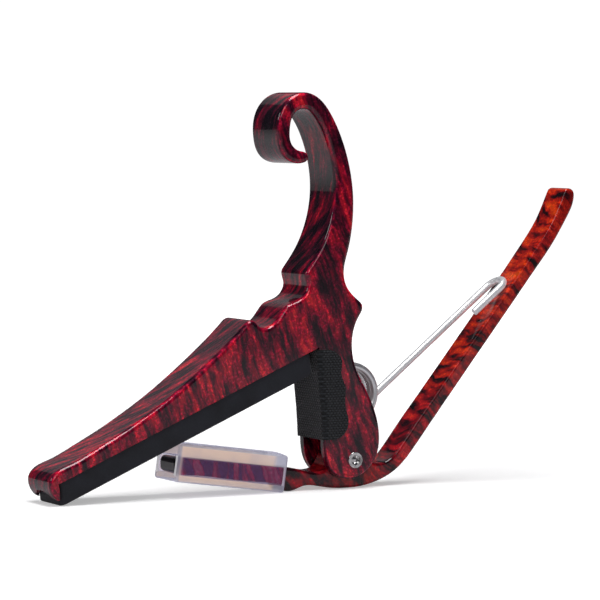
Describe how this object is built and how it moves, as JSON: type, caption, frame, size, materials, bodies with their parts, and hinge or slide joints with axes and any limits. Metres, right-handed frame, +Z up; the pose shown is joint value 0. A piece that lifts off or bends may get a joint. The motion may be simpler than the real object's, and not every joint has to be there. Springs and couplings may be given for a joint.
{
  "type": "guitar capo",
  "caption": "Spring-loaded quick-change guitar capo: forked upper arm with rubber string pad, pivoting sleeved lower jaw and squeeze handle held shut by a torsion spring.",
  "frame": {"origin": "bottom centre of the closed capo as it stands on its jaws: middle of its length and thickness, on the surface it stands on", "axes": "+X from the nose of the upper arm towards the tip of the squeeze handle, +Y through the thickness of the castings towards the side with the rivet's domed head, +Z up towards the curl of the finger rest"},
  "size_m": [0.1281, 0.0125, 0.0836],
  "materials": {
    "printed_frame": "gloss",
    "printed_lever": "gloss",
    "black_rubber": "matte",
    "black_weave": "matte",
    "clear_silicone": "satin",
    "spring_wire": "polished",
    "rivet_steel": "polished"
  },
  "bodies": {
    "upper_body": {"frame_casting": "printed_frame", "string_pad": "black_rubber", "neck_guard": "black_weave", "spring_coil": "spring_wire", "pivot_rivet": "rivet_steel"},
    "lever_body": {"lever_casting": "printed_lever", "jaw_sleeve": "clear_silicone"},
    "spring_arm_body": {"spring_arm": "spring_wire"}
  },
  "joints": [
    {"name": "lever_pivot", "type": "hinge", "parent": "lever_body", "child": "upper_body", "pos_m": [0.0069, 0, 0.0062], "axis": [0, 1, 0], "range_deg": [0, 38], "stiffness_Nm_per_rad": 1.3, "springref_deg": -34.38},
    {"name": "spring_flex", "type": "hinge", "parent": "upper_body", "child": "spring_arm_body", "pos_m": [0.0081, 0, 0.02], "axis": [0, -1, 0], "range_deg": [0, 49.5]}
  ],
  "couplings": [
    {"joint": "spring_flex", "follows": "lever_pivot", "ratio": 1.3}
  ]
}
